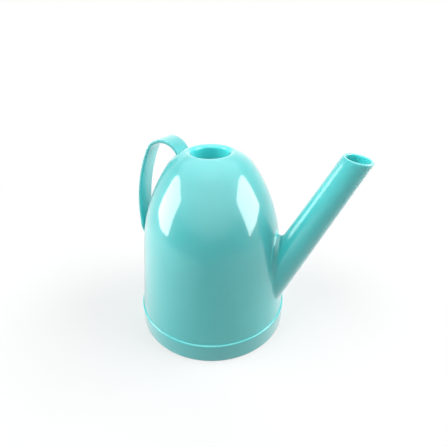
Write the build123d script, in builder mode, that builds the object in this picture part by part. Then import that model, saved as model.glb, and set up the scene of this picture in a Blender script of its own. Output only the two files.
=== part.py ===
from build123d import *
import os
from math import acos, atan2, cos, degrees, radians, sin, sqrt, tan

# Small indoor watering can: a domed moulded body on a wider base pan, a straight tapered spout on +X
# and a flat strap handle on -X. Millimetres, +Z up, origin at the middle of the base on the table.

# Body
rim_height = 172.0  # crest of the mouth lip above the table
wall = 2.5
wall_lean = 6.35  # degrees that the side wall leans inwards
shoulder_radius = 151.0  # long arc from the side wall up to the crown
crown_radius = 34.5  # tighter arc round the top of the dome
lip_lean = 71.0  # degrees that the dome leans inwards where it meets the lip
lip_radius = 3.2  # roll of the lip
mouth_radius = 17.0  # clear fill mouth
collar_depth = 15.0  # wall of the mouth, from the crest of the lip down

# Base
base_radius = 73.2
base_height = 19.3
base_ledge = 1.4  # step from the base ring in to the wall, rounded over
base_round = 0.8  # lower edges of the standing rim
ring_lip = 2.4  # base ring outside the groove
skirt_wall = 2.4  # lower edge of the body, in the groove
rib_wall = 2.0  # rib inside the groove
rib_height = 7.0
floor_wall = 2.5
floor_raise = 2.5  # hollow under the floor
standing_rim = 5.0  # width of the rim that stands on the table
weld_gap = 0.15  # room round the skirt in its groove

# Spout
root_height = 65.4  # where the axis of the spout meets the wall, above the table
spout_length = 124.7  # along that axis, from the wall to the outlet
spout_rise = 66.4  # degrees above level
outlet_radius = 11.0
spout_taper = 1.97  # degrees that each side of the tube spreads towards the root
spout_wall = 2.2
outlet_tilt = 8.6  # degrees that the cut end leans outwards from level
outlet_round = 0.9
root_fillet = 4.0
saddle_wall = 1.5
saddle_margin = 3.0  # saddle past the edge of the root fillet
seal_wall = 0.9
seal_gap = 0.05  # at each face of the seal
seat_pad = 2.4  # thicker wall behind the saddle
pad_margin = 3.0  # thicker wall past the edge of the saddle
spigot_step = 0.7  # spigot in from the outside of the tube
spigot_reach = 1.0  # spigot past the inside of the pad
fit_gap = 0.12  # saddle, spigot and handle tongues in their seats

# Handle
strap_width = 20.0
strap_thickness = 2.8
strap_round = 1.1
strap_rise = 7.7  # top of the arch above the crest of the lip
strap_peak_reach = 41.2  # top of the arch from the axis of the body
arch_radius = 17.5
back_radius = 154.5
strap_reach = 73.0  # furthest point of the back from the axis of the body
strap_drop = 9.0  # straight stretch under the back
foot_radius = 20.0
tongue_width = 12.0
tongue_depth = 7.0  # along the tongue, under the skin of the body
socket_wall = 1.8

os.makedirs("parts", exist_ok=True)

# Outline of the dome, in distance from the axis and height. The straight side wall runs into a long
# shoulder arc, that into the crown arc and that into the roll of the lip, each tangent to the next.
lean = radians(wall_lean)
wall_out = Vector(cos(lean), sin(lean))
wall_up = Vector(-sin(lean), cos(lean))
lip_out = Vector(cos(radians(lip_lean)), sin(radians(lip_lean)))
wall_foot = Vector(base_radius - base_ledge, base_height)
lip_centre = Vector(mouth_radius + lip_radius, rim_height - lip_radius)
crown_centre = lip_centre + lip_out * (lip_radius - crown_radius)
foot_from_crown = wall_foot - wall_out * shoulder_radius - crown_centre
climb = foot_from_crown.dot(wall_up)
centre_gap = shoulder_radius - crown_radius
wall_run = -climb - sqrt(climb**2 - foot_from_crown.length**2 + centre_gap**2)
wall_top = wall_foot + wall_up * wall_run
crown_from_shoulder = crown_centre - wall_top + wall_out * shoulder_radius
crown_lean = degrees(atan2(crown_from_shoulder.Y, crown_from_shoulder.X))

# Joint of body and base
groove_radius = base_radius - ring_lip
skirt_radius = groove_radius - weld_gap
skirt_inner = skirt_radius - skirt_wall
rib_radius = skirt_inner - weld_gap
floor_top = floor_raise + floor_wall
skirt_bottom = floor_top + weld_gap
collar_radius = mouth_radius + wall
collar_bottom = rim_height - collar_depth

# Axis of the spout, from where it meets the wall up to the outlet
rise = radians(spout_rise)
spout_along = Vector(cos(rise), 0, sin(rise))
root_centre = Vector(wall_foot.X - (root_height - wall_foot.Y) * tan(lean), 0, root_height)
outlet_centre = root_centre + spout_along * spout_length
taper = radians(spout_taper)
root_radius = outlet_radius + tan(taper) * spout_length
outlet_overrun = 2 * outlet_radius
root_overrun = 3 * root_radius

# Saddle of the spout: the top side of the tube meets the wall in a narrow angle and its under side in a
# wide one, the fillet runs on from there, and the margin goes round that
crotch_angle = radians(90) + lean - rise + taper
heel_angle = radians(90) - lean + rise + taper
crotch_run = root_radius * cos(taper) / sin(crotch_angle) + root_fillet / tan(crotch_angle / 2)
heel_run = root_radius * cos(taper) / sin(heel_angle) + root_fillet / tan(heel_angle / 2)
saddle_middle = root_height + (crotch_run - heel_run) / 2 * cos(lean)
saddle_height = (crotch_run + heel_run + 2 * saddle_margin) * cos(lean)
saddle_width = 2 * (root_radius + root_fillet + saddle_margin)
seat_depth = saddle_wall + seal_wall + 2 * seal_gap

# On this plane local x is the distance from the axis on the handle's side, and local y the height
handle_plane = Plane(origin=(0, 0, 0), x_dir=(-1, 0, 0), z_dir=(0, 1, 0))


def skin_lines(depth):
    """Side wall, shoulder and crown of the dome, moved in from the outer skin by depth."""
    table_foot = wall_foot - wall_up * (wall_foot.Y / wall_up.Y) - wall_out * depth
    side = Line(table_foot, wall_top - wall_out * depth)
    shoulder = JernArc(side @ 1, side % 1, shoulder_radius - depth, crown_lean - wall_lean)
    crown = JernArc(shoulder @ 1, shoulder % 1, crown_radius - depth, lip_lean - crown_lean)
    return [side, shoulder, crown]


def dome_core(depth):
    """Solid inside the skin of the body, moved in by depth and closed over the mouth."""
    with BuildPart() as core:
        with BuildSketch(Plane.XZ):
            with BuildLine():
                lines = skin_lines(depth)
                top = lines[2] @ 1
                foot = lines[0] @ 0
                Polyline(top, (0, top.Y), (0, foot.Y), foot)
            make_face()
        revolve(axis=Axis.Z)
    return core.part


def spout_rod(inset):
    """Tapered rod along the axis of the spout, inset from the outside of the tube."""
    length = outlet_overrun + spout_length + root_overrun
    start_radius = outlet_radius - inset - tan(taper) * outlet_overrun
    start_plane = Plane(origin=outlet_centre + spout_along * outlet_overrun, z_dir=-spout_along)
    with BuildPart(start_plane) as rod:
        Cone(
            start_radius,
            start_radius + tan(taper) * length,
            length,
            align=(Align.CENTER, Align.CENTER, Align.MIN),
        )
    return rod.part


def wall_oval(grow, outer_depth, inner_depth):
    """Oval patch of the wall round the root of the spout, between two depths under the skin."""
    outer_core = dome_core(outer_depth)
    inner_core = dome_core(inner_depth)
    with BuildPart() as oval:
        with BuildSketch(Plane.YZ):
            with Locations((0, saddle_middle)):
                Ellipse(saddle_width / 2 + grow, saddle_height / 2 + grow)
        extrude(amount=outlet_centre.X)
        add(outer_core, mode=Mode.INTERSECT)
        add(inner_core, mode=Mode.SUBTRACT)
    return oval.part


# Centre line of the strap, in two runs from the top of its arch: in to the dome, and out over the back
# and down to the wall. Both end where they meet the skin, and the tongues go straight on from there.
half_strap = strap_thickness / 2
skin = Wire(skin_lines(0))
arch_peak = Vector(strap_peak_reach, rim_height + strap_rise - half_strap)
back_shift = strap_peak_reach - strap_reach + back_radius
back_lean = degrees(acos(back_shift / (back_radius - arch_radius)))
arch_in = JernArc(arch_peak, Vector(-1, 0), arch_radius - half_strap, skin)
arch_out = JernArc(arch_peak, Vector(1, 0), arch_radius - half_strap, back_lean - 90)
back = JernArc(arch_out @ 1, arch_out % 1, back_radius - half_strap, -back_lean)
drop = Line(back @ 1, (back @ 1) - Vector(0, strap_drop))
foot_bend = JernArc(drop @ 1, drop % 1, foot_radius - half_strap, skin)


def tongue_lines(extra):
    """Straight ends of the strap under the skin, at the dome and at the wall, longer by extra."""
    top_end = (arch_in @ 1) + (arch_in % 1) * (tongue_depth + extra)
    foot_end = (foot_bend @ 1) + (foot_bend % 1) * (tongue_depth + extra)
    return Line(arch_in @ 1, top_end), Line(foot_bend @ 1, foot_end)


def tongue_blocks(grow):
    """The two tongues with the bends before them, grown on every side and at the end."""
    top_line, foot_line = tongue_lines(grow)
    with BuildPart() as blocks:
        with BuildSketch(handle_plane):
            trace([arch_in, top_line], line_width=strap_thickness + 2 * grow)
            trace([foot_bend, foot_line], line_width=strap_thickness + 2 * grow)
        extrude(amount=tongue_width / 2 + grow, both=True)
    return blocks.part


# Room inside the body, less the pad behind the saddle and the two sockets that stand into it
pad = wall_oval(pad_margin, wall / 2, wall + seat_pad)
socket_blocks = tongue_blocks(fit_gap + socket_wall)
with BuildPart() as cavity:
    with BuildSketch(Plane.XZ):
        with BuildLine():
            side, shoulder, crown = skin_lines(wall)
            crown_end = crown @ 1
            Polyline(
                crown_end,
                (collar_radius, crown_end.Y),
                (collar_radius, collar_bottom),
                (0, collar_bottom),
                (0, 0),
                side @ 0,
            )
        make_face()
        blend_height = wall_foot.X - skirt_radius + wall
        skirt_step = base_height + blend_height
        with BuildLine():
            Polyline(
                (skirt_inner, 0),
                (skirt_inner, base_height),
                (skirt_inner + blend_height, skirt_step),
                (base_radius, skirt_step),
                (base_radius, 0),
                close=True,
            )
        make_face(mode=Mode.SUBTRACT)
    revolve(axis=Axis.Z)
    add(pad, mode=Mode.SUBTRACT)
    add(socket_blocks, mode=Mode.SUBTRACT)

# Body: dome with rolled lip and collar, skirt for the base, seat and port for the spout
saddle_seat = wall_oval(fit_gap, -wall, seat_depth)
port = spout_rod(spigot_step - fit_gap)
pockets = tongue_blocks(fit_gap)
with BuildPart() as body_shell:
    with BuildSketch(Plane.XZ):
        with BuildLine():
            side = Line(wall_foot, wall_top)
            shoulder = JernArc(side @ 1, side % 1, shoulder_radius, crown_lean - wall_lean)
            crown = JernArc(shoulder @ 1, shoulder % 1, crown_radius, lip_lean - crown_lean)
            lip = JernArc(crown @ 1, crown % 1, lip_radius, 180 - lip_lean)
            Polyline(
                lip @ 1,
                (mouth_radius, collar_bottom - wall),
                (0, collar_bottom - wall),
                (0, skirt_bottom),
                (skirt_radius, skirt_bottom),
                (skirt_radius, base_height),
                wall_foot,
            )
        make_face()
    revolve(axis=Axis.Z)
    add(cavity.part, mode=Mode.SUBTRACT)
    add(saddle_seat, mode=Mode.SUBTRACT)
    add(port, mode=Mode.SUBTRACT)
    add(pockets, mode=Mode.SUBTRACT)
body_shell.part.label = "body_shell"
export_step(body_shell.part, "parts/body_shell.step")

# Base: floor, standing rim, rounded outer ring and the rib that makes the groove for the skirt
with BuildPart() as base_pan:
    with BuildSketch(Plane.XZ):
        with BuildLine():
            Polyline(
                (0, floor_raise),
                (base_radius - standing_rim, floor_raise),
                (base_radius - standing_rim, 0),
                (base_radius, 0),
                (base_radius, base_height),
                (groove_radius, base_height),
                (groove_radius, floor_top),
                (rib_radius, floor_top),
                (rib_radius, floor_top + rib_height),
                (rib_radius - rib_wall, floor_top + rib_height),
                (rib_radius - rib_wall, floor_top),
                (0, floor_top),
                close=True,
            )
        make_face()
    revolve(axis=Axis.Z)
    rims = base_pan.edges().filter_by(GeomType.CIRCLE)
    outer_rims = rims.filter_by(lambda rim: abs(rim.radius - base_radius) < weld_gap)
    fillet(outer_rims.sort_by(Axis.Z)[-1], base_ledge)
    fillet(base_pan.faces().sort_by(Axis.Z)[0].edges(), base_round)
base_pan.part.label = "base_pan"
export_step(base_pan.part, "parts/base_pan.step")

# Spout: saddle in its seat, tapered tube blended into it, spigot through the wall and one tapered bore
saddle = wall_oval(0, 0, saddle_wall)
outer_rod = spout_rod(0)
saddle_middle_core = dome_core(saddle_wall / 2)
spigot_rod = spout_rod(spigot_step)
spigot_end_core = dome_core(wall + seat_pad + spigot_reach)
bore_rod = spout_rod(spout_wall)
with BuildPart() as outer_tube:
    add(outer_rod)
    add(saddle_middle_core, mode=Mode.SUBTRACT)
with BuildPart() as spigot:
    add(spigot_rod)
    add(spigot_end_core, mode=Mode.SUBTRACT)
outlet_plane = Plane(
    origin=outlet_centre,
    z_dir=(sin(radians(outlet_tilt)), 0, cos(radians(outlet_tilt))),
)
with BuildPart() as spout:
    add(saddle)
    add(outer_tube.part)
    fillet(spout.edges(Select.NEW), root_fillet)
    add(spigot.part)
    add(bore_rod, mode=Mode.SUBTRACT)
    split(bisect_by=outlet_plane, keep=Keep.BOTTOM)
    fillet(spout.faces().sort_by(Axis.Z)[-1].edges(), outlet_round)
spout.part.label = "spout"
export_step(spout.part, "parts/spout.step")

# Seal: gasket between the back of the saddle and the floor of its seat, round the spigot
seal_start = saddle_wall + seal_gap
seal_layer = wall_oval(0, seal_start, seal_start + seal_wall)
seal_hole = spout_rod(spigot_step - fit_gap)
with BuildPart() as spout_seal:
    add(seal_layer)
    add(seal_hole, mode=Mode.SUBTRACT)
spout_seal.part.label = "spout_seal"
export_step(spout_seal.part, "parts/spout_seal.step")

# Handle: bent strap with rounded edges, cut to sit on the dome and the wall, and its two tongues
strap_line = [arch_in, arch_out, back, drop, foot_bend, *tongue_lines(0)]
seat_core = dome_core(-fit_gap)
strap_tongues = tongue_blocks(0)
with BuildPart() as handle_strap:
    with BuildSketch(handle_plane):
        trace(strap_line, line_width=strap_thickness)
    extrude(amount=strap_width / 2, both=True)
    side_faces = handle_strap.faces().filter_by(Axis.Y)
    long_edges = side_faces.edges().filter_by(lambda edge: edge.length > 2 * strap_thickness)
    fillet(long_edges, strap_round)
    add(seat_core, mode=Mode.SUBTRACT)
    add(strap_tongues)
handle_strap.part.label = "handle_strap"
export_step(handle_strap.part, "parts/handle_strap.step")
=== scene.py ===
from math import acos, atan2, cos, hypot, pi, radians, sin, sqrt, tan

import bmesh
import bpy
from bpy.props import FloatProperty, FloatVectorProperty, IntProperty, PointerProperty
from bpy.types import Operator, Panel, PropertyGroup
from mathutils import Matrix, Vector


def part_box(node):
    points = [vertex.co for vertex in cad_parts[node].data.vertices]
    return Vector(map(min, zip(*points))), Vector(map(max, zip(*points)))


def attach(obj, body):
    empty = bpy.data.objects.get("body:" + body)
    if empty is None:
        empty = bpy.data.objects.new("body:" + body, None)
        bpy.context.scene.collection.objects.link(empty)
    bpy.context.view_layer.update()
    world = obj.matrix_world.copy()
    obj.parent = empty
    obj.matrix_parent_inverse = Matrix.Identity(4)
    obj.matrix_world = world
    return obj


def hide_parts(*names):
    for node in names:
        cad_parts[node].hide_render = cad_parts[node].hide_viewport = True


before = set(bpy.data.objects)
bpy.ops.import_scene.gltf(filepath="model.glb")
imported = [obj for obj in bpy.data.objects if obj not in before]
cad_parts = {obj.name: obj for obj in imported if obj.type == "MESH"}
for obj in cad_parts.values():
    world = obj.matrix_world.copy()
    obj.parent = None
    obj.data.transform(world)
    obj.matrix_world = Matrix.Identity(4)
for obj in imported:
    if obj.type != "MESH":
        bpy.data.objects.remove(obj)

bl_info = {
    "name": "Watering Can",
    "version": (1, 0, 0),
    "blender": (4, 5, 0),
    "location": "3D View > Sidebar > Watering Can",
    "description": "Small moulded watering can, modelled piece by piece on its CAD frame",
    "category": "Mesh",
}

PLASTIC_SLOT = "aqua_plastic"
RUBBER_SLOT = "seal_rubber"
SHARP_ANGLE = radians(32)
# A face looks in where its normal, along the way out from the axis, is below this
FACES_IN = -0.25
# Point on the axis of the can that lamps and ceiling face, and how far from it they stand
AIM_HEIGHT = 0.13
LAMP_DISTANCE = 1.0

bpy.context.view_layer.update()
body_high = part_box("body_shell")[1]
base_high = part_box("base_pan")[1]


# Settings that a user would change


def size(name, description, metres):
    return FloatProperty(
        name=name, description=description, default=metres, min=0.0, precision=5, unit="LENGTH"
    )


def angle(name, description, degrees):
    return FloatProperty(name=name, description=description, default=radians(degrees), subtype="ANGLE")


def share(name, description, default):
    return FloatProperty(
        name=name, description=description, default=default, min=0.0, max=1.0, subtype="FACTOR"
    )


def colour(name, description, default):
    return FloatVectorProperty(
        name=name, description=description, default=default, size=3, min=0.0, max=1.0, subtype="COLOR"
    )


def power(name, description, default):
    return FloatProperty(name=name, description=description, default=default, min=0.0, unit="POWER")


def place(name, description, default):
    return FloatVectorProperty(
        name=name, description=description, default=default, size=3, subtype="TRANSLATION"
    )


def steps(description, default, least):
    return IntProperty(name="Segments", description=description, default=default, min=least)


class BodySizes(PropertyGroup):
    rim_height: size("Rim height", "Crest of the mouth lip above the table", body_high.z)
    wall: size("Wall", "Thickness of the moulded wall", 0.0025)
    wall_lean: angle("Wall lean", "How far the side wall leans inwards", 6.35)
    shoulder_radius: size("Shoulder radius", "Long arc from the side wall up to the crown", 0.151)
    crown_radius: size("Crown radius", "Tighter arc round the top of the dome", 0.0345)
    lip_lean: angle("Lip lean", "How far the dome leans inwards where it meets the lip", 71.0)
    lip_radius: size("Lip radius", "Roll of the lip", 0.0032)
    mouth_radius: size("Mouth radius", "Clear fill mouth", 0.017)
    collar_depth: size("Collar depth", "Wall of the mouth, from the crest of the lip down", 0.015)
    segments: steps("Steps round the body", 256, 32)


class BaseSizes(PropertyGroup):
    radius: size("Radius", "Outside of the base ring", base_high.x)
    height: size("Height", "Top of the base ring above the table", base_high.z)
    ledge: size("Ledge", "Step from the ring in to the wall, rounded over", 0.0014)
    foot_round: size("Foot round", "Lower edges of the standing rim", 0.0008)
    ring_lip: size("Ring lip", "Base ring outside the groove", 0.0024)
    skirt_wall: size("Skirt wall", "Lower edge of the body, in the groove", 0.0024)
    rib_wall: size("Rib wall", "Rib inside the groove", 0.002)
    rib_height: size("Rib height", "Rib above the floor", 0.007)
    floor_wall: size("Floor wall", "Thickness of the floor", 0.0025)
    floor_raise: size("Floor raise", "Hollow under the floor", 0.0025)
    standing_rim: size("Standing rim", "Width of the rim on the table", 0.005)
    weld_gap: size("Weld gap", "Room round the skirt in its groove", 0.00015)
    segments: steps("Steps round the base", 256, 32)


class SpoutSizes(PropertyGroup):
    root_height: size("Root height", "Where the axis meets the wall, above the table", 0.0654)
    length: size("Length", "Along the axis, from the wall to the outlet", 0.1247)
    rise: angle("Rise", "Axis of the spout above level", 66.4)
    outlet_radius: size("Outlet radius", "Outside of the tube at the outlet", 0.011)
    taper: angle("Taper", "How far each side of the tube spreads towards the root", 1.97)
    wall: size("Wall", "Thickness of the tube", 0.0022)
    outlet_tilt: angle("Outlet tilt", "How far the cut end leans outwards from level", 8.6)
    outlet_round: size("Outlet round", "Edges of the cut end", 0.0009)
    root_fillet: size("Root fillet", "Blend from the tube to the wall", 0.004)
    saddle_rim: size("Saddle rim", "Flush skin of the saddle past the fillet", 0.001)
    seat_pad: size("Seat pad", "Thicker wall behind the saddle", 0.0024)
    pad_margin: size("Pad margin", "Thicker wall past the root fillet", 0.006)
    spigot_step: size("Spigot step", "Spigot in from the outside of the tube", 0.0007)
    spigot_reach: size("Spigot reach", "Spigot past the inside of the pad", 0.001)
    fit_gap: size("Fit gap", "Spigot in its port", 0.00012)
    segments: steps("Steps round the tube", 128, 24)


class HandleSizes(PropertyGroup):
    width: size("Width", "Strap across the hand", 0.02)
    thickness: size("Thickness", "Thickness of the strap", 0.0028)
    edge_round: size("Edge round", "Long edges of the strap", 0.0011)
    rise: size("Rise", "Top of the arch above the crest of the lip", 0.0077)
    peak_reach: size("Peak reach", "Top of the arch from the axis of the body", 0.0412)
    arch_radius: size("Arch radius", "Outside of the arch", 0.0175)
    back_radius: size("Back radius", "Outside of the long back", 0.1545)
    reach: size("Reach", "Furthest point of the back from the axis of the body", 0.073)
    drop: size("Drop", "Straight stretch under the back", 0.009)
    foot_radius: size("Foot radius", "Outside of the bend in to the wall", 0.02)
    sink: size("Sink", "Ends of the strap under the skin of the body", 0.0013)
    tongue_width: size("Tongue width", "Tongue at each end", 0.012)
    tongue_depth: size("Tongue depth", "Tongue under the skin", 0.007)
    socket_wall: size("Socket wall", "Socket round each tongue, inside the body", 0.0018)


class FinishSettings(PropertyGroup):
    plastic: colour("Plastic", "Aqua of the moulded plastic", (0.05, 0.45, 0.455))
    # Painted glow: a brighter copy of the plastic's colour for inner faces, standing in for light through
    # the wall
    painted_glow_plastic: colour("Lit plastic", "Inner faces that light comes through", (0.06, 0.66, 0.67))
    plastic_pale: colour("Pale plastic", "Where the melt flowed thinner", (0.065, 0.48, 0.48))
    scuff: colour("Scuff", "Rubbed plastic at the standing rim", (0.2, 0.54, 0.54))
    roughness: share("Roughness", "Moulded surface", 0.3)
    coat: share("Gloss", "Polished skin from the mould", 1.0)
    bloom: share("Bloom", "Pale haze of the skin, seen at the edges", 0.55)
    glow: share("Glow", "Light that spreads inside the plastic", 0.5)
    # Painted glow: emission strength on those inner faces, standing in for light through the wall
    through: share("Light through", "Light that comes through the wall to the inner faces", 0.07)
    glow_depth: size("Glow depth", "How far light spreads inside the plastic", 0.002)
    rubber: colour("Rubber", "Seal behind the spout", (0.02, 0.022, 0.024))


class StageSettings(PropertyGroup):
    floor: share("Floor", "Whiteness of the table", 0.3)
    glow: share("Floor glow", "White that the camera adds to the table", 0.5)
    fill: share("Fill", "Light from all round", 0.08)
    left_power: power("Left light", "Soft light on the handle's side", 18.5)
    right_power: power("Right light", "Soft light on the spout's side", 16.5)
    back_power: power("Back light", "Wide soft light behind the can", 10.0)
    spout_power: power("Spout light", "Soft light from the front on the spout alone", 1.9)
    left_shine: power("Left shine", "Softbox that the dome mirrors on the handle's side", 14.0)
    right_shine: power("Right shine", "Softbox that the dome mirrors on the spout's side", 14.0)
    top_shine: FloatProperty(
        name="Top shine",
        description="Bright ceiling that the dome mirrors",
        default=3.9,
        min=0.0,
        subtype="UNSIGNED",
    )
    strip_shine: power("Strip shine", "Strip that the spout mirrors", 3.0)
    left_sheen: power("Left sheen", "Bounce card on the table on the handle's side", 1.8)
    right_sheen: power("Right sheen", "Bounce card on the table on the spout's side", 1.0)
    camera: place("Camera", "Where the camera stands", (0.1095, -0.2546, 0.2614))
    heading: angle("Heading", "Camera's turn to the left of straight ahead", 21.0)
    pitch: angle("Pitch", "How far the camera looks down", 29.94)
    lens: FloatProperty(name="Lens", description="Focal length", default=27.307, unit="CAMERA")


class WateringCan(PropertyGroup):
    body: PointerProperty(name="Body", description="Domed body", type=BodySizes)
    base: PointerProperty(name="Base", description="Base pan", type=BaseSizes)
    spout: PointerProperty(name="Spout", description="Tapered spout", type=SpoutSizes)
    handle: PointerProperty(name="Handle", description="Strap handle", type=HandleSizes)
    finish: PointerProperty(name="Finish", description="Colours and gloss", type=FinishSettings)
    stage: PointerProperty(name="Stage", description="Table, light and camera", type=StageSettings)


# Shader maths


class Shade:
    """A socket's value in a node tree. Python's operators on it add Math nodes."""

    def __init__(self, tree, socket=None):
        self.tree = tree
        self.socket = socket

    def node(self, kind, settings=None, inputs=None, output=0):
        """Adds a node, sets it up, then fills or links its sockets, and gives one of its outputs."""
        made = self.tree.nodes.new(kind)
        for name, value in (settings or {}).items():
            setattr(made, name, value)
        for name, value in (inputs or {}).items():
            if isinstance(value, Shade):
                self.tree.links.new(value.socket, made.inputs[name])
            else:
                made.inputs[name].default_value = value
        return Shade(self.tree, made.outputs[output] if made.outputs else None)

    def math(self, operation, left, right, clamp=False):
        settings = {"operation": operation, "use_clamp": clamp}
        return self.node("ShaderNodeMath", settings, {0: left, 1: right})

    def __add__(self, other):
        return self.math("ADD", self, other)

    __radd__ = __add__

    def __sub__(self, other):
        return self.math("SUBTRACT", self, other)

    def __rsub__(self, other):
        return self.math("SUBTRACT", other, self)

    def __mul__(self, other):
        return self.math("MULTIPLY", self, other)

    __rmul__ = __mul__

    def __truediv__(self, other):
        return self.math("DIVIDE", self, other)

    def __rtruediv__(self, other):
        return self.math("DIVIDE", other, self)

    def clamped(self):
        return self.math("ADD", self, 0.0, clamp=True)

    def between(self, low, high):
        """Zero up to the low value, one from the high value on, and even in between."""
        return ((self - low) / (high - low)).clamped()

    def mixed(self, low, high):
        """Colour that goes from low to high with this value."""
        settings = {"data_type": "RGBA"}
        return self.node("ShaderNodeMix", settings, {0: self, 6: low, 7: high}, output=2)


def opaque(rgb):
    return (*rgb, 1.0)


def new_tree(owner):
    """Empties the nodes of a material, a lamp or the world."""
    owner.use_nodes = True
    owner.node_tree.nodes.clear()
    return Shade(owner.node_tree)


def aqua_plastic(finish, name, shade, through):
    """Glossy moulded plastic: faint flow tones, a soft ripple in the gloss and scuffs at the table. The
    through value gives a painted glow: emission in the plastic's own colour.
    """
    material = bpy.data.materials.get(name)
    if material:
        return material
    material = bpy.data.materials.new(name)
    tree = new_tree(material)
    spot = tree.node("ShaderNodeTexCoord", output="Object")
    height = tree.node("ShaderNodeSeparateXYZ", {}, {0: spot}, output="Z")

    def noise(scale, detail, roughness=0.5, vector=spot):
        inputs = {"Vector": vector, "Scale": scale, "Detail": detail, "Roughness": roughness}
        return tree.node("ShaderNodeTexNoise", {}, inputs)

    scuff_height = 0.0032
    flow = noise(scale=16.0, detail=2.0)
    haze = noise(scale=90.0, detail=4.0, roughness=0.6)
    ripple = noise(scale=38.0, detail=1.0)
    peel = noise(scale=520.0, detail=2.0)
    grit = noise(scale=420.0, detail=5.0, roughness=0.7)
    stretched = tree.node("ShaderNodeMapping", {}, {"Vector": spot, "Scale": (240.0, 240.0, 2600.0)})
    hairlines = noise(scale=1.0, detail=3.0, roughness=0.7, vector=stretched)
    rubbed = (1.0 - height.between(0.0, scuff_height)) * grit.between(0.42, 0.62)
    marks = hairlines.between(0.689, 0.8)
    tone = flow.between(0.292, 0.708).mixed(opaque(shade), opaque(finish.plastic_pale))
    skin = (rubbed * 0.75).mixed(tone, opaque(finish.scuff))
    gloss = finish.roughness + (haze - 0.5) * 0.07 + marks * 0.05 + rubbed * 0.3
    relief = ripple * 0.8 + peel * 0.045 + rubbed * 0.05
    bump = tree.node("ShaderNodeBump", {}, {"Strength": 0.12, "Distance": 0.0006, "Height": relief})
    shader = tree.node(
        "ShaderNodeBsdfPrincipled",
        {},
        {
            "Base Color": skin,
            "Roughness": gloss.clamped(),
            "IOR": 1.49,
            "Specular IOR Level": 0.2,
            "Subsurface Weight": finish.glow,
            "Subsurface Radius": (0.3, 1.0, 1.0),
            "Subsurface Scale": finish.glow_depth,
            "Coat Weight": finish.coat,
            "Coat Roughness": 0.05,
            "Coat IOR": 1.45,
            "Sheen Weight": finish.bloom,
            "Sheen Roughness": 0.4,
            # Painted glow: emission in the plastic's colour, standing in for light that comes through the
            # wall
            "Emission Color": skin,
            "Emission Strength": through,
            "Normal": bump,
        },
    )
    tree.node("ShaderNodeOutputMaterial", {}, {"Surface": shader})
    return material


def seal_rubber(finish):
    """Matt rubber with a fine bloom."""
    material = bpy.data.materials.new(RUBBER_SLOT + "_matt")
    tree = new_tree(material)
    spot = tree.node("ShaderNodeTexCoord", output="Object")
    bloom = tree.node("ShaderNodeTexNoise", {}, {"Vector": spot, "Scale": 160.0, "Detail": 4.0})
    pale = [min(1.0, value * 1.9) for value in finish.rubber]
    tone = bloom.mixed(opaque(finish.rubber), opaque(pale))
    grain = tree.node("ShaderNodeTexNoise", {}, {"Vector": spot, "Scale": 1400.0, "Detail": 2.0})
    bump = tree.node("ShaderNodeBump", {}, {"Strength": 0.2, "Distance": 0.0002, "Height": grain})
    shader = tree.node(
        "ShaderNodeBsdfPrincipled",
        {},
        {"Base Color": tone, "Roughness": 0.62 + bloom * 0.2, "Normal": bump},
    )
    tree.node("ShaderNodeOutputMaterial", {}, {"Surface": shader})
    return material


# Forms that several pieces share


class DomeOutline:
    """Outer skin of the body, in distance from the axis and height."""

    def __init__(self, can):
        body, base = can.body, can.base
        self.lean = body.wall_lean
        self.wall_out = Vector((cos(self.lean), sin(self.lean)))
        self.wall_up = Vector((-sin(self.lean), cos(self.lean)))
        self.lip_out = Vector((cos(body.lip_lean), sin(body.lip_lean)))
        self.foot = Vector((base.radius - base.ledge, base.height))
        self.lip_centre = Vector(
            (body.mouth_radius + body.lip_radius, body.rim_height - body.lip_radius)
        )
        self.crown_centre = self.lip_centre + self.lip_out * (body.lip_radius - body.crown_radius)
        from_crown = self.foot - self.wall_out * body.shoulder_radius - self.crown_centre
        climb = from_crown.dot(self.wall_up)
        centre_gap = body.shoulder_radius - body.crown_radius
        run = -climb - sqrt(climb**2 - from_crown.length_squared + centre_gap**2)
        self.wall_top = self.foot + self.wall_up * run
        self.shoulder_centre = self.wall_top - self.wall_out * body.shoulder_radius
        to_crown = self.crown_centre - self.shoulder_centre
        self.crown_lean = atan2(to_crown.y, to_crown.x)
        self.shoulder_radius = body.shoulder_radius
        self.crown_radius = body.crown_radius

    def stand_off(self, point):
        """How far a point stands outside the skin, and the direction straight out there."""
        radius = hypot(point.x, point.y)
        flat = Vector((radius, point.z))
        from_shoulder = flat - self.shoulder_centre
        if (flat - self.wall_top).dot(self.wall_up) < 0.0:
            out = self.wall_out
            distance = (flat - self.foot).dot(out)
        elif atan2(from_shoulder.y, from_shoulder.x) < self.crown_lean:
            distance = from_shoulder.length - self.shoulder_radius
            out = from_shoulder.normalized()
        else:
            from_crown = flat - self.crown_centre
            distance = from_crown.length - self.crown_radius
            out = from_crown.normalized()
        return distance, Vector((out.x * point.x / radius, out.x * point.y / radius, out.y))

    def sink(self, point, direction, depth, reach):
        """The point moved along a direction until it is that deep under the skin."""
        run = crossing(lambda t: self.stand_off(point + direction * t)[0] + depth, -reach, reach)
        return point + direction * run


def crossing(height, low, high):
    """Where a falling height goes through zero, between two runs."""
    halvings = 40
    if height(low) < 0.0 or height(high) > 0.0:
        raise ValueError("two surfaces don't meet")
    for _ in range(halvings):
        middle = (low + high) / 2
        if height(middle) > 0.0:
            low = middle
        else:
            high = middle
    return (low + high) / 2


def rounded(corner, before, after, radius, parts):
    """Arc that rounds a corner between the ways to the points before and after it."""
    to_before = (before - corner).normalized()
    to_after = (after - corner).normalized()
    half = to_before.angle(to_after) / 2
    middle = corner + (to_before + to_after).normalized() * (radius / sin(half))
    trim = radius / tan(half)
    first = (corner + to_before * trim - middle).normalized()
    last = (corner + to_after * trim - middle).normalized()
    return [middle + first.slerp(last, part / parts) * radius for part in range(parts + 1)]


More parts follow.
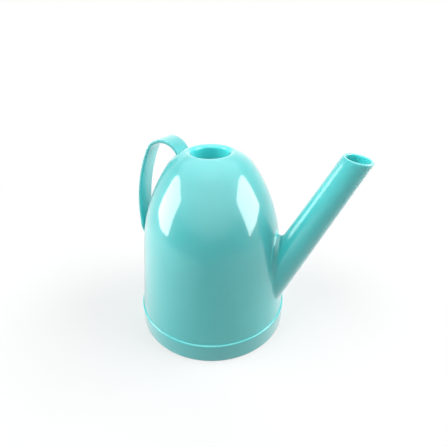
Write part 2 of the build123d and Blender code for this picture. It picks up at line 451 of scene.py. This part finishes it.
class SpoutForm:
    """Tapered tube. Runs go down its axis from the outlet, and turns go round it from the top side."""

    def __init__(self, can, dome):
        self.sizes = can.spout
        self.dome = dome
        rise = self.sizes.rise
        self.along = Vector((cos(rise), 0, sin(rise)))
        self.top = Vector((-sin(rise), 0, cos(rise)))
        root_reach = dome.foot.x - (self.sizes.root_height - dome.foot.y) * tan(dome.lean)
        self.root = Vector((root_reach, 0, self.sizes.root_height))
        self.outlet = self.root + self.along * self.sizes.length
        self.widening = tan(self.sizes.taper)
        self.cut = Vector((sin(self.sizes.outlet_tilt), 0, cos(self.sizes.outlet_tilt)))
        self.furthest = 1.5 * self.sizes.length
        self.turns = [2 * pi * step / self.sizes.segments for step in range(self.sizes.segments)]

    def outward(self, turn):
        return self.top * cos(turn) + Vector((0, sin(turn), 0))

    def radius(self, run, inset):
        return self.sizes.outlet_radius - inset + self.widening * run

    def point(self, turn, run, inset=0.0):
        return self.outlet - self.along * run + self.outward(turn) * self.radius(run, inset)

    def rim_run(self, turn, inset=0.0):
        """Run at which the side of the tube meets the cut end."""
        lean = self.cut.dot(self.outward(turn))
        return self.radius(0.0, inset) * lean / (self.cut.dot(self.along) - self.widening * lean)

    def is_bore(self, face):
        """True for a face that looks at the axis of the tube. These faces get the painted glow."""
        way = face.center - self.outlet
        out = way - self.along * way.dot(self.along)
        return face.normal.dot(out.normalized()) < FACES_IN

    def skin_run(self, turn, inset, depth):
        """Run at which the side of the tube is that deep under the skin of the body."""

        def height(run):
            return self.dome.stand_off(self.point(turn, run, inset))[0] + depth

        return crossing(height, 0.0, self.furthest)

    def root_ball(self, turn):
        """Run and middle of a ball that rests on tube and wall, and the way out from each of them."""
        radius = self.sizes.root_fillet
        tube_out = self.outward(turn) * cos(self.sizes.taper) + self.along * sin(self.sizes.taper)

        def height(run):
            return self.dome.stand_off(self.point(turn, run) + tube_out * radius)[0] - radius

        run = crossing(height, 0.0, self.furthest)
        middle = self.point(turn, run) + tube_out * radius
        return run, middle, tube_out, self.dome.stand_off(middle)[1]


def spun(form, geom, centre, turn, parts):
    """Spins vertices and edges round a point of the XZ plane, and gives their last copy."""
    made = bmesh.ops.spin(
        form, geom=geom, cent=(centre[0], 0, centre[1]), axis=(0, -1, 0), angle=turn, steps=parts
    )
    return made["geom_last"]


def extruded(form, edges):
    """Extrudes edges, and gives the vertices and edges of their copy."""
    made = bmesh.ops.extrude_edge_only(form, edges=edges)["geom"]
    verts = [item for item in made if isinstance(item, bmesh.types.BMVert)]
    new_edges = [item for item in made if isinstance(item, bmesh.types.BMEdge)]
    known = set(verts)
    return verts, [edge for edge in new_edges if set(edge.verts) <= known]


def verts_of(edges):
    """The vertices of some edges, each once."""
    return list(dict.fromkeys(vert for edge in edges for vert in edge.verts))


def round_over(form, geom, radius, parts, affect):
    """Rounds edges, or the corners of a flat outline."""
    bmesh.ops.bevel(
        form,
        geom=geom,
        offset=radius,
        offset_type="OFFSET",
        segments=parts,
        profile=0.5,
        affect=affect,
        material=-1,
    )


class Pen:
    """Draws an outline in the XZ plane by extruding and spinning its last vertex, then turns it."""

    def __init__(self, x, z):
        self.form = bmesh.new()
        self.start = self.tip = self.form.verts.new((x, 0, z))

    def line(self, x, z, parts=1):
        begin, end = self.tip.co.copy(), Vector((x, 0, z))
        for part in range(parts):
            self.tip = bmesh.ops.extrude_vert_indiv(self.form, verts=[self.tip])["verts"][0]
            self.tip.co = begin.lerp(end, (part + 1) / parts)

    def arc(self, centre, turn, parts):
        self.tip = spun(self.form, [self.tip], centre, turn, parts)[0]

    def close(self):
        self.form.edges.new((self.tip, self.start))

    def turn(self, parts):
        bmesh.ops.spin(
            self.form,
            geom=self.form.verts[:] + self.form.edges[:],
            cent=(0, 0, 0),
            axis=(0, 0, 1),
            angle=2 * pi,
            steps=parts,
            use_merge=True,
        )
        bmesh.ops.remove_doubles(self.form, verts=self.form.verts, dist=1e-6)
        bmesh.ops.recalc_face_normals(self.form, faces=self.form.faces)
        return self.form


def ring_after(form, verts, edges):
    """Extrudes a ring of edges and gives the new ring, in the old one's order."""
    new_verts, ring = extruded(form, edges)
    known = set(new_verts)
    ordered = []
    for vert in verts:
        partners = [edge.other_vert(vert) for edge in vert.link_edges]
        ordered.append(next(partner for partner in partners if partner in known))
    return ordered, ring


def loft(form, rings):
    """Skins a closed row of rings with the same number of points."""
    verts = bmesh.ops.create_circle(form, segments=len(rings[0]), radius=1.0)["verts"]
    known = set(verts)
    edges = first_edges = [edge for edge in form.edges if set(edge.verts) <= known]
    for index, points in enumerate(rings):
        if index:
            verts, edges = ring_after(form, verts, edges)
        for vert, point in zip(verts, points):
            vert.co = point
    bmesh.ops.bridge_loops(form, edges=first_edges + edges)


def new_object(name, form):
    mesh = bpy.data.meshes.new(name)
    form.to_mesh(mesh)
    form.free()
    piece = bpy.data.objects.new(name, mesh)
    bpy.context.scene.collection.objects.link(piece)
    return piece


def finish_piece(piece, node, finish, gets_painted_glow):
    """Smooth shading with crisp corners, the plastic, and the piece's place in the frame.

    Faces that the mask picks get a painted glow: a brighter copy of the plastic with a weak emission,
    standing in for light that comes through the wall.
    """
    piece.data.shade_smooth()
    piece.data.set_sharp_from_angle(angle=SHARP_ANGLE)
    gloss = aqua_plastic(finish, PLASTIC_SLOT + "_gloss", finish.plastic, 0.0)
    # The second material is the painted glow for the inner faces
    painted_glow = aqua_plastic(finish, PLASTIC_SLOT + "_lit", finish.painted_glow_plastic, finish.through)
    for material in (gloss, painted_glow):
        piece.data.materials.append(material)
    for face in piece.data.polygons:
        face.material_index = int(gets_painted_glow(face))
    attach(piece, "root")
    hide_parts(node)


def faces_axis(face):
    """True for a face that looks at the upright axis of the body. On the body these faces get the painted
    glow.
    """
    return face.normal.xy.dot(face.center.xy.normalized()) < FACES_IN


class StrapPath:
    """Centre line of the strap, drawn on the +X side: bends, their middles and how far they turn."""

    def __init__(self, can, dome):
        sizes = can.handle
        half = sizes.thickness / 2
        self.arch_radius = sizes.arch_radius - half
        self.back_radius = sizes.back_radius - half
        self.foot_radius = sizes.foot_radius - half
        peak = can.body.rim_height + sizes.rise - half
        self.arch_centre = Vector((sizes.peak_reach, peak - self.arch_radius))
        back_shift = sizes.peak_reach - sizes.reach + sizes.back_radius
        centre_gap = sizes.back_radius - sizes.arch_radius
        self.back_lean = acos(back_shift / centre_gap)
        self.back_centre = self.arch_centre - Vector(
            (back_shift, sqrt(centre_gap**2 - back_shift**2))
        )
        back_end = self.back_centre + Vector((self.back_radius, 0))
        self.foot_centre = back_end - Vector((self.foot_radius, sizes.drop))
        self.dome = dome
        self.arch_end = crossing(
            lambda turn: self.height(self.arch_centre, self.arch_radius, turn), pi / 2, pi
        )
        self.foot_start = -crossing(
            lambda turn: self.height(self.foot_centre, self.foot_radius, -turn), 0.0, pi / 2
        )

    def spot(self, centre, radius, turn):
        return Vector((centre.x + radius * cos(turn), 0, centre.y + radius * sin(turn)))

    def height(self, centre, radius, turn):
        return self.dome.stand_off(self.spot(centre, radius, turn))[0]

    def ends(self):
        """Where the strap meets the skin at the wall and at the dome, and its way in at each."""
        foot = self.spot(self.foot_centre, self.foot_radius, self.foot_start)
        arch = self.spot(self.arch_centre, self.arch_radius, self.arch_end)
        foot_in = Vector((sin(self.foot_start), 0, -cos(self.foot_start)))
        arch_in = Vector((-sin(self.arch_end), 0, cos(self.arch_end)))
        return (foot, foot_in), (arch, arch_in)


# Pieces


class WATERING_CAN_OT_body(Operator):
    """Dome with rolled lip and collar, skirt for the base, port for the spout and handle sockets"""

    bl_idname = "watering_can.body"
    bl_label = "Body Shell"

    def execute(self, context):
        can = context.scene.watering_can
        dome = DomeOutline(can)
        tube = SpoutForm(can, dome)
        piece = new_object("body", self.turned_shell(can, dome))
        self.cut_port(piece, can.spout, tube)
        form = bmesh.new()
        form.from_mesh(piece.data)
        self.add_pad(form, can, tube)
        self.add_sockets(form, can, dome)
        form.to_mesh(piece.data)
        form.free()
        finish_piece(piece, "body_shell", can.finish, faces_axis)
        return {"FINISHED"}

    def turned_shell(self, can, dome):
        """Turns the outline of the wall: up outside from the skirt, over the lip and down inside."""
        body, base = can.body, can.base
        skirt = base.radius - base.ring_lip - base.weld_gap
        skirt_inner = skirt - base.skirt_wall
        skirt_bottom = base.floor_raise + base.floor_wall + base.weld_gap
        collar = body.mouth_radius + body.wall
        collar_bottom = body.rim_height - body.collar_depth
        crown_end = dome.crown_centre + dome.lip_out * (body.crown_radius - body.wall)
        inner_foot = dome.foot.x - body.wall / cos(dome.lean)
        blend = (inner_foot - skirt_inner) / (1 + tan(dome.lean))
        shoulder_turn = dome.crown_lean - dome.lean
        crown_turn = body.lip_lean - dome.crown_lean
        pen = Pen(skirt, skirt_bottom)
        pen.line(skirt, base.height)
        pen.line(*dome.foot)
        pen.line(*dome.wall_top, parts=30)
        pen.arc(dome.shoulder_centre, shoulder_turn, parts=30)
        pen.arc(dome.crown_centre, crown_turn, parts=18)
        pen.arc(dome.lip_centre, pi - body.lip_lean, parts=20)
        pen.line(body.mouth_radius, collar_bottom, parts=4)
        pen.line(collar, collar_bottom)
        pen.line(collar, crown_end.y)
        pen.line(*crown_end)
        pen.arc(dome.crown_centre, -crown_turn, parts=14)
        pen.arc(dome.shoulder_centre, -shoulder_turn, parts=20)
        pen.line(skirt_inner + blend, base.height + blend, parts=30)
        pen.line(skirt_inner, base.height)
        pen.line(skirt_inner, skirt_bottom)
        pen.close()
        return pen.turn(body.segments)

    def cut_port(self, piece, spout, tube):
        """Cuts the port for the spigot with a tapered rod on the axis of the spout."""
        inset = spout.spigot_step - spout.fit_gap
        past_root = 2.8 * tube.radius(spout.length, 0.0)
        low_run, high_run = spout.length + past_root, spout.length - past_root
        turn = tube.along.to_track_quat("Z", "Y").to_matrix().to_4x4()
        half_step = Matrix.Rotation(pi / spout.segments, 4, "Z")
        form = bmesh.new()
        bmesh.ops.create_cone(
            form,
            cap_ends=True,
            segments=spout.segments,
            radius1=tube.radius(low_run, inset),
            radius2=tube.radius(high_run, inset),
            depth=low_run - high_run,
            matrix=Matrix.Translation(tube.root) @ turn @ half_step,
        )
        rod = new_object("port_rod", form)
        cut = piece.modifiers.new("port", "BOOLEAN")
        cut.operation = "DIFFERENCE"
        cut.solver = "EXACT"
        cut.object = rod
        graph = bpy.context.evaluated_depsgraph_get()
        cut_mesh = bpy.data.meshes.new_from_object(piece.evaluated_get(graph))
        piece.modifiers.clear()
        piece.data = cut_mesh
        bpy.data.objects.remove(rod)

    def add_pad(self, form, can, tube):
        """Thicker oval of the wall round the port, on the inside."""
        spout, dome = can.spout, tube.dome
        balls = [tube.root_ball(turn) for turn in tube.turns]
        touches = [middle - wall_out * spout.root_fillet for _, middle, _, wall_out in balls]
        low = min(point.z for point in touches) - spout.pad_margin
        high = max(point.z for point in touches) + spout.pad_margin
        half_width = max(point.y for point in touches) + spout.pad_margin
        inset = spout.spigot_step - spout.fit_gap
        inside, outside = can.body.wall + spout.seat_pad, can.body.wall / 2
        straight_in = Vector((-1, 0, 0))

        def oval(depth):
            points = []
            for turn in tube.turns:
                y = half_width * sin(turn)
                z = (low + high) / 2 + (high - low) / 2 * cos(turn)
                start = Vector((dome.foot.x, y, z))
                points.append(dome.sink(start, straight_in, depth, dome.foot.x / 2))
            return points

        def port(depth):
            runs = [tube.skin_run(turn, inset, depth) for turn in tube.turns]
            return [tube.point(turn, run, inset) for turn, run in zip(tube.turns, runs)]

        inner_oval, inner_port = oval(inside), port(inside)
        between = []
        for part in (0.25, 0.5, 0.75):
            ring = [a.lerp(b, part) for a, b in zip(inner_oval, inner_port)]
            between.append([dome.sink(a, straight_in, inside, spout.pad_margin) for a in ring])
        known = set(form.faces)
        loft(form, [oval(outside), inner_oval, *between, inner_port, port(outside)])
        bmesh.ops.recalc_face_normals(form, faces=[face for face in form.faces if face not in known])

    def add_sockets(self, form, can, dome):
        """Blind socket round each tongue of the strap, standing into the can."""
        handle = can.handle
        grow = can.spout.fit_gap + handle.socket_wall
        start = can.body.wall / 2
        length = handle.tongue_depth + grow - start
        half_turn = Matrix.Rotation(pi, 4, "Z")
        for spot, way_in in StrapPath(can, dome).ends():
            middle = spot + way_in * (start + length / 2)
            turn = way_in.to_track_quat("X", "Y").to_matrix().to_4x4()
            block = Matrix.Diagonal(
                (length, handle.thickness + 2 * grow, handle.tongue_width + 2 * grow, 1)
            )
            place_block = half_turn @ Matrix.Translation(middle) @ turn @ block
            verts = bmesh.ops.create_cube(form, size=1.0, matrix=place_block)["verts"]
            edges = list(dict.fromkeys(edge for vert in verts for edge in vert.link_edges))
            round_over(form, edges, handle.edge_round / 2, parts=3, affect="EDGES")


class WATERING_CAN_OT_base(Operator):
    """Base pan: rounded ring, standing rim, floor and the rib that makes the groove for the skirt"""

    bl_idname = "watering_can.base"
    bl_label = "Base Pan"

    def execute(self, context):
        can = context.scene.watering_can
        base = can.base
        floor_top = base.floor_raise + base.floor_wall
        groove = base.radius - base.ring_lip
        rib = groove - 2 * base.weld_gap - base.skirt_wall
        rim_inner = base.radius - base.standing_rim
        rib_top = floor_top + base.rib_height
        quarter = pi / 2
        upward = 0.5
        pen = Pen(0.0, base.floor_raise)
        pen.line(rim_inner, base.floor_raise, parts=12)
        pen.line(rim_inner, base.foot_round)
        pen.arc((rim_inner + base.foot_round, base.foot_round), quarter, parts=5)
        pen.line(base.radius - base.foot_round, 0.0)
        pen.arc((base.radius - base.foot_round, base.foot_round), quarter, parts=6)
        pen.line(base.radius, base.height - base.ledge, parts=8)
        pen.arc((base.radius - base.ledge, base.height - base.ledge), quarter, parts=10)
        pen.line(groove, base.height)
        pen.line(groove, floor_top)
        pen.line(rib, floor_top)
        pen.line(rib, rib_top)
        pen.line(rib - base.rib_wall, rib_top)
        pen.line(rib - base.rib_wall, floor_top)
        pen.line(0.0, floor_top, parts=12)
        piece = new_object("base", pen.turn(base.segments))

        def is_floor(face):
            """True for a face inside the rib that looks up into the can. These faces get the painted glow.
            """
            return face.normal.z > upward and face.center.xy.length < rib

        finish_piece(piece, "base_pan", can.finish, is_floor)
        return {"FINISHED"}


class WATERING_CAN_OT_spout(Operator):
    """Tapered spout: root fillet that follows the wall, rounded cut end, bore and spigot"""

    bl_idname = "watering_can.spout"
    bl_label = "Spout"

    def execute(self, context):
        can = context.scene.watering_can
        tube = SpoutForm(can, DomeOutline(can))
        columns = [self.column(can, tube, turn) for turn in tube.turns]
        form = bmesh.new()
        loft(form, list(zip(*columns)))
        bmesh.ops.recalc_face_normals(form, faces=form.faces)
        finish_piece(new_object("spout_tube", form), "spout", can.finish, tube.is_bore)
        return {"FINISHED"}

    def column(self, can, tube, turn):
        """Points on one side: up from the rim of the saddle, over the cut end and down to the spigot."""
        spout = can.spout
        sunk = can.body.wall / 3
        round_parts = 6
        tube_parts = (0.015, 0.05, 0.12, 0.25, 0.4, 0.55, 0.7, 0.82, 0.92, 0.97)
        bore_parts = (0.02, 0.05, 0.1, 0.25, 0.45, 0.65, 0.85, 1.0)
        end_depth = can.body.wall + spout.seat_pad + spout.spigot_reach
        root_run, *ball = tube.root_ball(turn)
        outer_run = tube.rim_run(turn)
        outer_rim = tube.point(turn, outer_run)
        inner_rim = tube.point(turn, tube.rim_run(turn, spout.wall), spout.wall)
        bore_bottom = tube.point(turn, tube.skin_run(turn, spout.wall, end_depth), spout.wall)
        points = self.saddle(spout, tube.dome, ball, sunk)
        for part in tube_parts:
            points.append(tube.point(turn, root_run + (outer_run - root_run) * part))
        points += rounded(outer_rim, points[-1], inner_rim, spout.outlet_round, round_parts)
        points += rounded(inner_rim, outer_rim, bore_bottom, spout.outlet_round, round_parts)
        for part in bore_parts:
            points.append(inner_rim.lerp(bore_bottom, part))
        for depth in (end_depth, can.body.wall, sunk * 2):
            run = tube.skin_run(turn, spout.spigot_step, depth)
            points.append(tube.point(turn, run, spout.spigot_step))
        return points

    def saddle(self, spout, dome, ball, sunk):
        """Points from under the rim of the saddle over the root fillet, a hair proud of the wall."""
        proud = 0.000015
        fillet_parts = 22
        middle, tube_out, wall_out = ball
        touch = middle - wall_out * (spout.root_fillet - proud)
        away = (tube_out - wall_out * tube_out.dot(wall_out)).normalized()
        rim = touch + away * spout.saddle_rim
        rim_height, rim_out = dome.stand_off(rim)
        rim = rim - rim_out * (rim_height - proud)
        points = [rim - rim_out * sunk, rim, touch]
        for part in range(1, fillet_parts + 1):
            way = (-wall_out).slerp(-tube_out, part / fillet_parts)
            points.append(middle + way * spout.root_fillet)
        return points


class WATERING_CAN_OT_handle(Operator):
    """Flat strap with rounded edges, bent from the wall up over the back and in to the dome"""

    bl_idname = "watering_can.handle"
    bl_label = "Handle Strap"

    def execute(self, context):
        can = context.scene.watering_can
        dome = DomeOutline(can)
        path = StrapPath(can, dome)
        form = bmesh.new()
        first = self.section(form, can.handle, path)
        last = self.bend(form, first, path.foot_centre, -path.foot_start, parts=16)
        last = self.push(form, last, Vector((0, 0, can.handle.drop)), parts=4)
        last = self.bend(form, last, path.back_centre, path.back_lean, parts=30)
        last = self.bend(form, last, path.arch_centre, path.arch_end - path.back_lean, parts=48)
        (_, foot_in), (_, arch_in) = path.ends()
        for ring, way_in in ((first, foot_in), (last, arch_in)):
            self.end_tongue(form, ring, way_in, can.handle, dome)
        bmesh.ops.rotate(form, cent=(0, 0, 0), matrix=Matrix.Rotation(pi, 3, "Z"), verts=form.verts)
        bmesh.ops.recalc_face_normals(form, faces=form.faces)
        finish_piece(new_object("handle", form), "handle_strap", can.finish, self.is_inner)
        return {"FINISHED"}

    def is_inner(self, face):
        """True for a face of the strap that looks at the body and not up. These faces get the painted glow.
        """
        upward = 0.2
        return faces_axis(face) and face.normal.z < upward

    def section(self, form, handle, path):
        """Rounded outline of the strap across its path, where the foot meets the wall."""
        verts = bmesh.ops.create_grid(form, x_segments=1, y_segments=1, size=0.5)["verts"]
        bmesh.ops.scale(form, vec=(handle.thickness, handle.width, 1), verts=verts)
        round_over(form, form.verts[:], handle.edge_round, parts=6, affect="VERTICES")
        bmesh.ops.delete(form, geom=form.faces[:], context="FACES_ONLY")
        spot = path.spot(path.foot_centre, path.foot_radius, path.foot_start)
        turn = Matrix.Rotation(-path.foot_start, 4, "Y")
        bmesh.ops.transform(form, matrix=Matrix.Translation(spot) @ turn, verts=form.verts)
        return form.edges[:]

    def bend(self, form, edges, centre, turn, parts):
        """Spins the end of the strap round the middle of a bend, and gives the new end."""
        made = spun(form, verts_of(edges) + edges, centre, turn, parts)
        return [item for item in made if isinstance(item, bmesh.types.BMEdge)]

    def push(self, form, edges, move, parts):
        """Extrudes the end of the strap straight on, and gives the new end."""
        for _ in range(parts):
            verts, edges = extruded(form, edges)
            bmesh.ops.translate(form, vec=move / parts, verts=verts)
        return edges

    def end_tongue(self, form, edges, way_in, handle, dome):
        """Sinks the end of the strap under the skin, then narrows it to its tongue."""
        for vert in verts_of(edges):
            vert.co = dome.sink(vert.co, way_in, handle.sink, handle.tongue_depth)
        edges = self.push(form, edges, way_in * handle.edge_round / 4, parts=1)
        narrowing = (1, handle.tongue_width / handle.width, 1)
        bmesh.ops.scale(form, vec=narrowing, verts=verts_of(edges))
        edges = self.push(form, edges, way_in * (handle.tongue_depth - handle.sink), parts=1)
        bmesh.ops.edgeloop_fill(form, edges=edges)


class WATERING_CAN_OT_seal(Operator):
    """Rubber for the seal, whose CAD solid stays as it is behind the saddle of the spout"""

    bl_idname = "watering_can.seal"
    bl_label = "Spout Seal"

    def execute(self, context):
        rubber = seal_rubber(context.scene.watering_can.finish)
        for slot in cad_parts["spout_seal"].material_slots:
            slot.material = rubber
        return {"FINISHED"}


class WATERING_CAN_OT_stage(Operator):
    """Pale table, white surround, soft lights, softboxes that the dome mirrors and the camera"""

    bl_idname = "watering_can.stage"
    bl_label = "Stage"

    def execute(self, context):
        stage = context.scene.watering_can.stage
        context.scene.view_settings.view_transform = "Standard"
        self.add_table(stage)
        self.add_surround(context.scene, stage)
        self.add_lights(stage)
        self.add_ceiling(stage)
        self.add_reflections(stage)
        self.add_camera(context.scene, stage)
        return {"FINISHED"}

    def add_lights(self, stage):
        """Soft lights that the gloss doesn't show, the last one for the spout alone."""
        left = self.add_softbox("left_light", stage.left_power, (1.2, 1.0), bearing=-54.0, elevation=32.0)
        right = self.add_softbox("right_light", stage.right_power, (1.0, 0.8), bearing=112.0, elevation=36.0)
        back = self.add_softbox("back_light", stage.back_power, (2.2, 0.7), bearing=195.0, elevation=16.0)
        spout = self.add_softbox("spout_light", stage.spout_power, (0.6, 0.6), bearing=0.0, elevation=25.0)
        for lamp in (left, right, back, spout):
            lamp.visible_glossy = False
        self.link(spout, "receiver", "INCLUDE", "spout_tube")

    def add_reflections(self, stage):
        """Softboxes and bounce cards that only the gloss shows."""
        right = self.add_softbox(
            "right_softbox", stage.right_shine, (0.72, 0.58), bearing=99.0, elevation=16.0, roll=13.0
        )
        left = self.add_softbox(
            "left_softbox", stage.left_shine, (0.63, 0.67), bearing=-63.0, elevation=11.0, roll=-16.0
        )
        strip = self.add_softbox("spout_strip", stage.strip_shine, (0.5, 0.4), bearing=-90.0, elevation=1.0)
        right_card = self.add_card("right_card", stage.right_sheen, bearing=78.0)
        left_card = self.add_card("left_card", stage.left_sheen, bearing=-48.0)
        for lamp in (right, left, strip, right_card, left_card):
            lamp.visible_diffuse = False
        self.link(right, "blocker", "EXCLUDE", "spout_tube")
        self.link(left, "receiver", "EXCLUDE", "spout_tube")
        self.link(strip, "receiver", "INCLUDE", "spout_tube")
        self.link(strip, "blocker", "EXCLUDE", "body", "handle")
        self.link(right_card, "receiver", "EXCLUDE", "spout_tube")

    def seen(self, tree):
        """One for rays that show the surround: from the camera, off gloss and through clear things."""
        camera = tree.node("ShaderNodeLightPath", output="Is Camera Ray")
        gloss = tree.node("ShaderNodeLightPath", output="Is Glossy Ray")
        clear = tree.node("ShaderNodeLightPath", output="Is Transmission Ray")
        return (camera + gloss + clear).clamped()

    def add_table(self, stage):
        """Pale table that goes over into the white surround away from the can."""
        half_width, lower = 6.0, 0.0001
        white_from, white_to = 0.2, 0.5
        form = bmesh.new()
        bmesh.ops.create_grid(form, x_segments=8, y_segments=8, size=half_width)
        bmesh.ops.translate(form, vec=(0, 0, -lower), verts=form.verts)
        table = new_object("table", form)
        material = bpy.data.materials.new("table_white")
        tree = new_tree(material)
        spot = tree.node("ShaderNodeTexCoord", output="Object")
        distance = tree.node("ShaderNodeVectorMath", {"operation": "LENGTH"}, {0: spot}, output="Value")
        plain = tree.node("ShaderNodeBsdfDiffuse", {}, {"Color": opaque([stage.floor] * 3)})
        glow = tree.node("ShaderNodeEmission", {}, {"Strength": stage.glow})
        near = tree.node("ShaderNodeAddShader", {}, {0: plain, 1: glow})
        far = tree.node("ShaderNodeEmission", {}, {"Strength": 1.0})
        away = distance.between(white_from, white_to)
        shown = tree.node("ShaderNodeMixShader", {}, {0: away, 1: near, 2: far})
        mixed = tree.node("ShaderNodeMixShader", {}, {0: self.seen(tree), 1: plain, 2: shown})
        tree.node("ShaderNodeOutputMaterial", {}, {"Surface": mixed})
        table.data.materials.append(material)

    def add_surround(self, scene, stage):
        """White world for what shows it, with a weak light from all round for the rest."""
        world = bpy.data.worlds.new("surround")
        tree = new_tree(world)
        strength = stage.fill + self.seen(tree) * (1.0 - stage.fill)
        white = {"Color": opaque([1.0] * 3), "Strength": strength}
        background = tree.node("ShaderNodeBackground", {}, white)
        tree.node("ShaderNodeOutputWorld", {}, {"Surface": background})
        scene.world = world

    def facing(self, turn):
        """Place of a panel that faces the can, turned round the point that it aims at."""
        aim = Matrix.Translation((0, 0, AIM_HEIGHT))
        return aim @ turn @ Matrix.Translation((0, 0, LAMP_DISTANCE))

    def add_ceiling(self, stage):
        """Bright panel above the camera that only the gloss shows, fading out to its edges."""
        lean, reach = radians(21), 2.6
        turn = Matrix.Rotation(stage.heading, 4, "Z") @ Matrix.Rotation(lean, 4, "X")
        matrix = self.facing(turn)
        form = bmesh.new()
        bmesh.ops.create_circle(form, cap_ends=True, segments=64, radius=reach, matrix=matrix)
        ceiling = new_object("ceiling", form)
        material = bpy.data.materials.new("ceiling_white")
        material.cycles.emission_sampling = "NONE"
        tree = new_tree(material)
        spot = tree.node("ShaderNodeTexCoord", output="Object")
        ends = {0: spot, 1: matrix.translation}
        distance = tree.node("ShaderNodeVectorMath", {"operation": "DISTANCE"}, ends, output="Value")
        fade = 1.0 - distance.between(0.0, reach)
        shader = tree.node("ShaderNodeEmission", {}, {"Color": fade * stage.top_shine + 1.0})
        tree.node("ShaderNodeOutputMaterial", {}, {"Surface": shader})
        ceiling.data.materials.append(material)
        for ray in ("camera", "diffuse", "transmission", "volume_scatter", "shadow"):
            setattr(ceiling, "visible_" + ray, False)

    def add_lamp(self, name, watts, extent, matrix):
        """Rectangular lamp that the camera doesn't see."""
        lamp = bpy.data.lights.new(name, "AREA")
        lamp.shape = "RECTANGLE"
        lamp.size, lamp.size_y = extent
        lamp.energy = watts
        box = bpy.data.objects.new(name, lamp)
        box.matrix_world = matrix
        box.visible_camera = False
        bpy.context.scene.collection.objects.link(box)
        return box

    def add_softbox(self, name, watts, extent, bearing, elevation, roll=0.0):
        """Lamp that faces the can. Its bearing, elevation and roll are in degrees."""
        tilt = Matrix.Rotation(pi / 2 - radians(elevation), 4, "X")
        turn = Matrix.Rotation(radians(bearing), 4, "Z") @ tilt @ Matrix.Rotation(radians(roll), 4, "Z")
        return self.add_lamp(name, watts, extent, self.facing(turn))

    def add_card(self, name, watts, bearing):
        """Bounce card lying on the table, bright in its middle and fading to its edges."""
        extent, distance, lift = (0.8, 0.64), 0.4, 0.002
        lying = Matrix.Translation((0, -distance, lift)) @ Matrix.Rotation(pi, 4, "X")
        turn = Matrix.Rotation(radians(bearing), 4, "Z")
        card = self.add_lamp(name, watts, extent, turn @ lying)
        tree = new_tree(card.data)
        spot = tree.node("ShaderNodeNewGeometry", output="Parametric")
        along = tree.node("ShaderNodeSeparateXYZ", {}, {0: spot}, output="X")
        across = tree.node("ShaderNodeSeparateXYZ", {}, {0: spot}, output="Y")
        fade = 4.0 * along * (1.0 - along) * 4.0 * across * (1.0 - across)
        shader = tree.node("ShaderNodeEmission", {}, {"Color": fade})
        tree.node("ShaderNodeOutputLight", {}, {"Surface": shader})
        return card

    def link(self, box, role, state, *names):
        """Has only some pieces, or all but some, receive or block a lamp's light."""
        group = bpy.data.collections.new(box.name + "_" + role)
        for name in names:
            group.objects.link(bpy.data.objects[name])
        for item in group.collection_objects:
            item.light_linking.link_state = state
        setattr(box.light_linking, role + "_collection", group)

    def add_camera(self, scene, stage):
        lens = bpy.data.cameras.new("camera")
        lens.sensor_width = 36.0
        lens.lens = stage.lens
        lens.clip_start = 0.01
        camera = bpy.data.objects.new("camera", lens)
        camera.location = stage.camera
        camera.rotation_euler = (pi / 2 - stage.pitch, 0.0, stage.heading)
        scene.collection.objects.link(camera)
        scene.camera = camera


class WATERING_CAN_PT_panel(Panel):
    """Sizes, colours and build buttons"""

    bl_idname = "WATERING_CAN_PT_panel"
    bl_label = "Watering Can"
    bl_space_type = "VIEW_3D"
    bl_region_type = "UI"
    bl_category = "Watering Can"

    def draw(self, context):
        can = context.scene.watering_can
        for group in (can.body, can.base, can.spout, can.handle, can.finish, can.stage):
            box = self.layout.box()
            for name in group.__annotations__:
                box.prop(group, name)
        for operator in operators:
            self.layout.operator(operator.bl_idname)


groups = (
    BodySizes,
    BaseSizes,
    SpoutSizes,
    HandleSizes,
    FinishSettings,
    StageSettings,
    WateringCan,
)
operators = (
    WATERING_CAN_OT_base,
    WATERING_CAN_OT_body,
    WATERING_CAN_OT_spout,
    WATERING_CAN_OT_handle,
    WATERING_CAN_OT_seal,
    WATERING_CAN_OT_stage,
)
classes = (*groups, *operators, WATERING_CAN_PT_panel)


def register():
    for item in classes:
        bpy.utils.register_class(item)
    bpy.types.Scene.watering_can = PointerProperty(type=WateringCan)


def unregister():
    del bpy.types.Scene.watering_can
    for item in reversed(classes):
        bpy.utils.unregister_class(item)


def main():
    register()
    bpy.ops.watering_can.base()
    bpy.ops.watering_can.body()
    bpy.ops.watering_can.spout()
    bpy.ops.watering_can.handle()
    bpy.ops.watering_can.seal()
    bpy.ops.watering_can.stage()


if __name__ == "__main__":
    main()
